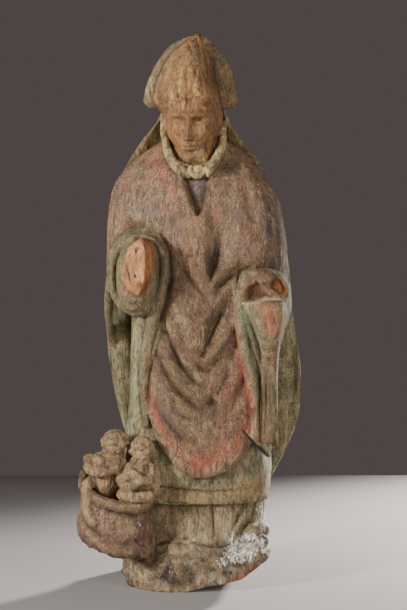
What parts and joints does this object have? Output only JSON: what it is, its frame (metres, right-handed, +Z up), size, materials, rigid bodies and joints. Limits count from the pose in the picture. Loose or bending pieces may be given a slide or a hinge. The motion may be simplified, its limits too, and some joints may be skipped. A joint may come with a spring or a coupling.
{
  "type": "wooden saint statue",
  "caption": "Carved wooden statue of a standing robed bishop saint with a pointed mitre and a tub of praying children at one side, on a rough base",
  "frame": {"origin": "on the flat underside of the base, under the middle of the figure", "axes": "+Z up to the tip of the mitre, the figure faces -Y, the tub is at its right hand side, towards -X"},
  "size_m": [0.4083, 0.287, 1.0023],
  "materials": {
    "painted_wood": "old dry wood with worn thin paint in mauve brown, grey green, ochre and red, patchy white ground and bare orange brown breaks"
  },
  "bodies": {
    "root": {"statue": "painted_wood"}
  },
  "joints": []
}
